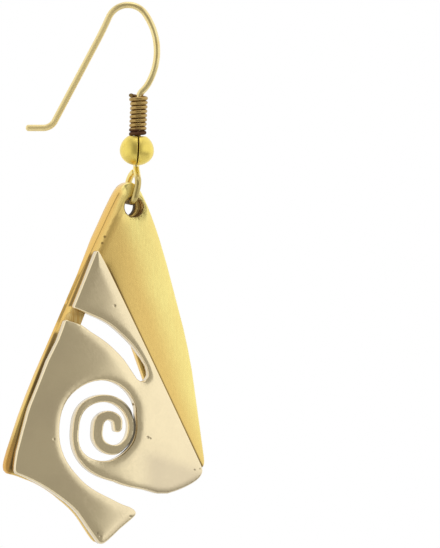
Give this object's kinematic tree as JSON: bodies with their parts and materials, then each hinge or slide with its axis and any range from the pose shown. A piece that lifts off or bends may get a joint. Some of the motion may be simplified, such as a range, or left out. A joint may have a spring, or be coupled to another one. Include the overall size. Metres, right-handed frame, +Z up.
{
  "type": "dangle earring",
  "caption": "Drop earring: a pierced silver-coloured plate with a curling cut-out over a curved gold-coloured plate, on a hooked wire with a coil and a ball bead.",
  "frame": {"origin": "inside of the hook's top, where the wire rests in the ear's hole", "axes": "+Z up along the hanging earring, +X to the viewer's right, -Y towards the viewer"},
  "size_m": [0.0202, 0.0079, 0.0542],
  "materials": {
    "gold_wire": "polished",
    "coil_wire": "satin",
    "gold_bead": "polished",
    "gold_sheet": "brushed",
    "silver_sheet": "satin"
  },
  "bodies": {
    "hook_with_ring": {"ear_wire": "gold_wire", "wire_coil": "coil_wire", "ball_bead": "gold_bead"},
    "pendant": {"gold_plate": "gold_sheet", "silver_overlay": "silver_sheet"}
  },
  "joints": [
    {"name": "pendant_swing", "type": "hinge", "parent": "hook_with_ring", "child": "pendant", "pos_m": [0.00011, 0, -0.01933], "axis": [0.342, -0.9397, 0], "range_deg": [-40, 40]}
  ]
}
